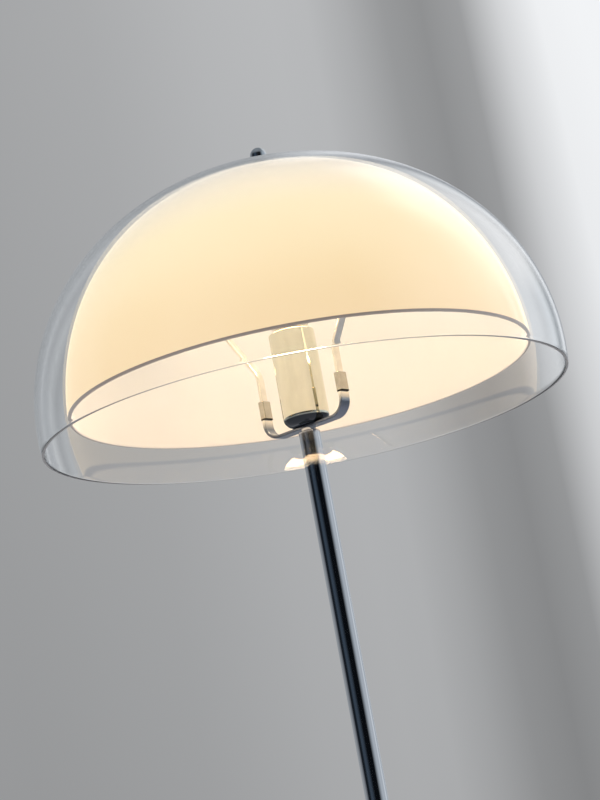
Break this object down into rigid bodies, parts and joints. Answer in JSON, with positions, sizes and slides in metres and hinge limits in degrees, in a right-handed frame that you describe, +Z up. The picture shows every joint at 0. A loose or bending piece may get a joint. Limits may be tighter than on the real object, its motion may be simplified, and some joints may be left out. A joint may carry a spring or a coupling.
{
  "type": "floor lamp",
  "caption": "Floor lamp with a clear outer dome over an opal inner dome, held by a finial on a strip harp above a chromed stem and a round weighted foot.",
  "frame": {"origin": "centre of the foot's underside, on the stem's axis", "axes": "+Z up along the stem; the harp's legs lie along X; the cord bush points along +Y"},
  "size_m": [0.488, 0.488, 1.5186],
  "materials": {
    "pad_rubber": "matt black non-slip rubber",
    "weight_iron": "raw sand-cast iron",
    "cover_chrome": "mirror chrome plating",
    "zinc_steel": "zinc-plated steel",
    "bush_black": "moulded black nylon",
    "stem_chrome": "mirror chrome plating",
    "harp_chrome": "mirror chrome plating",
    "ferrule_chrome": "mirror chrome plating",
    "cup_chrome": "mirror chrome plating",
    "holder_black": "moulded black phenolic",
    "insert_ceramic": "unglazed white ceramic",
    "shell_brass": "nickel-flashed brass",
    "cap_metal": "bright pressed aluminium",
    "tip_black": "black glass insulator",
    "bulb_white": "satin white plastic",
    "board_white": "white solder-masked board",
    "bulb_opal": "frosted opal, lit warm white",
    "opal_acrylic": "opal white acrylic, glossy both sides",
    "clear_acrylic": "clear acrylic, polished",
    "washer_nylon": "natural nylon",
    "finial_dark": "dark chrome"
  },
  "bodies": {
    "stand": {"base_pad": "pad_rubber", "base_weight": "weight_iron", "base_cover": "cover_chrome", "base_washer": "zinc_steel", "base_nut": "zinc_steel", "base_stud": "zinc_steel", "cord_bush": "bush_black", "foot_collar": "cover_chrome", "foot_plug": "zinc_steel", "stem_lower": "stem_chrome", "stem_coupler": "zinc_steel", "stem_upper": "stem_chrome", "head_plug": "stem_chrome", "head_nipple": "zinc_steel", "saddle": "harp_chrome", "holder_cup": "cup_chrome", "cup_nut": "zinc_steel", "holder_cap": "holder_black", "holder_insert": "insert_ceramic", "holder_screws": "shell_brass", "holder_shell": "shell_brass", "holder_contact": "shell_brass", "holder_sleeve": "holder_black"},
    "bulb": {"bulb_tip": "tip_black", "bulb_cap": "cap_metal", "bulb_body": "bulb_white", "bulb_board": "board_white", "bulb_diffuser": "bulb_opal"},
    "harp": {"harp_bow": "harp_chrome", "harp_stud": "harp_chrome", "shade_seat": "washer_nylon"},
    "ferrule_l": {"ferrule_left": "ferrule_chrome"},
    "ferrule_r": {"ferrule_right": "ferrule_chrome"},
    "opal": {"shade_opal": "opal_acrylic", "shade_spacer": "washer_nylon"},
    "clear": {"shade_clear": "clear_acrylic", "finial_washer": "washer_nylon"},
    "knob": {"finial": "finial_dark"}
  },
  "joints": [
    {"name": "bulb_unscrew", "type": "slide", "parent": "stand", "child": "bulb", "axis": [0, 0, 1], "range_m": [0, 0.026]},
    {"name": "harp_lift", "type": "slide", "parent": "stand", "child": "harp", "axis": [0, 0, 1], "range_m": [0, 0.04]},
    {"name": "ferrule_left_slide", "type": "slide", "parent": "harp", "child": "ferrule_l", "axis": [0, 0, 1], "range_m": [0, 0.016]},
    {"name": "ferrule_right_slide", "type": "slide", "parent": "harp", "child": "ferrule_r", "axis": [0, 0, 1], "range_m": [0, 0.016]},
    {"name": "opal_lift", "type": "slide", "parent": "harp", "child": "opal", "axis": [0, 0, 1], "range_m": [0, 0.03]},
    {"name": "clear_lift", "type": "slide", "parent": "opal", "child": "clear", "axis": [0, 0, 1], "range_m": [0, 0.03]},
    {"name": "finial_unscrew", "type": "slide", "parent": "clear", "child": "knob", "axis": [0, 0, 1], "range_m": [0, 0.018]}
  ]
}
